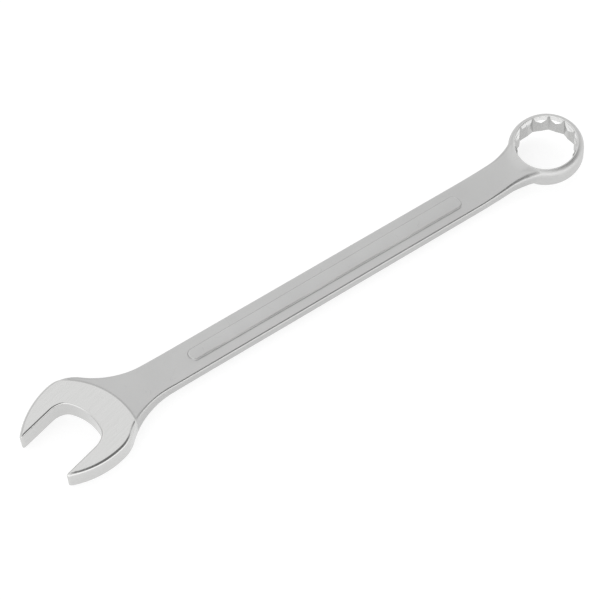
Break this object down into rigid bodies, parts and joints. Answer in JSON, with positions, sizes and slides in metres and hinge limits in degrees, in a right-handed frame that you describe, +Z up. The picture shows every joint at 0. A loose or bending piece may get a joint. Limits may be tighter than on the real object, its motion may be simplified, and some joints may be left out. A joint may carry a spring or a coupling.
{
  "type": "combination wrench",
  "caption": "One-piece forged combination wrench: slanted open end, straight shank with a raised panel on each face, and a tilted twelve-point ring on the other end",
  "frame": {"origin": "on the table under the middle of the tool's box, with the tool lying flat", "axes": "+X runs along the shank from the open end to the ring, +Y is the side of the jaw that the open end is slanted away from, +Z is up, the side to which the ring is tilted"},
  "size_m": [0.3724, 0.057, 0.0213],
  "materials": {
    "polished_steel": "fine polished chrome on the heads",
    "satin_steel": "satin chrome, blasted"
  },
  "bodies": {
    "root": {"left_jaw": "polished_steel", "right_jaw": "polished_steel", "jaw_web": "polished_steel", "open_end_neck": "satin_steel", "shank": "satin_steel", "ring_neck": "satin_steel", "ring_head": "polished_steel", "upper_panel": "satin_steel", "lower_panel": "satin_steel"}
  },
  "joints": []
}
